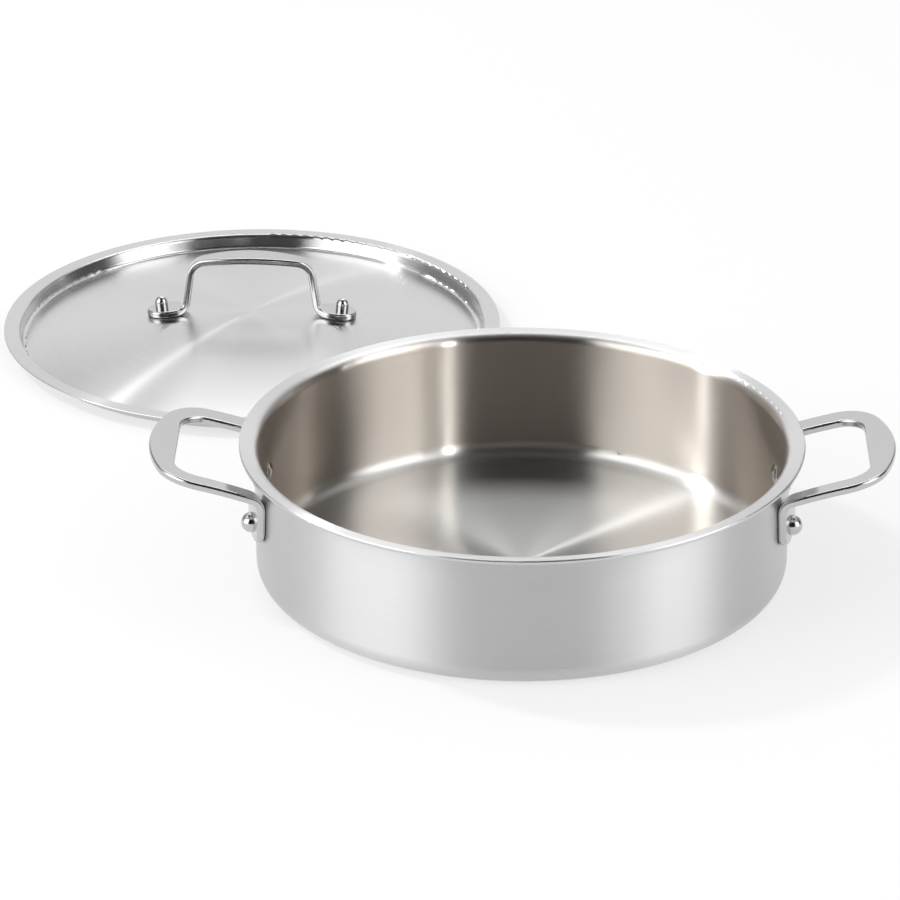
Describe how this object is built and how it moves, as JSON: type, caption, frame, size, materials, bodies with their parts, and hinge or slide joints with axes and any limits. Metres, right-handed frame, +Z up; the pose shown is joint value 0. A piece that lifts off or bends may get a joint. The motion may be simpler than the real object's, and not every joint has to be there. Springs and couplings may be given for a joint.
{
  "type": "stainless steel braiser with lid",
  "caption": "Low round stainless braising pan with straight walls, a flared lip, riveted loop handles and a domed flanged lid lying beside it.",
  "frame": {"origin": "centre of the pan's base, on the table", "axes": "+Z up, +X through the right side handle, -Y the front of the pan; the lid lies on the table behind and to the left"},
  "size_m": [0.5525, 0.6668, 0.0824],
  "materials": {
    "satin_steel": "fine circular brushing",
    "polished_steel": "polished",
    "aluminium": "cut edge"
  },
  "bodies": {
    "pan": {"inner_steel_ply": "satin_steel", "aluminium_core": "aluminium", "outer_steel_ply": "satin_steel", "left_handle": "polished_steel", "right_handle": "polished_steel", "left_front_rivet": "polished_steel", "left_rear_rivet": "polished_steel", "right_front_rivet": "polished_steel", "right_rear_rivet": "polished_steel"},
    "lid": {"lid_shell": "satin_steel", "lid_handle": "polished_steel", "lid_left_rivet": "polished_steel", "lid_right_rivet": "polished_steel"}
  },
  "joints": [
    {"name": "lid_lift", "type": "slide", "parent": "pan", "child": "lid", "axis": [0, 0, 1], "range_m": [0, 0.25]}
  ]
}
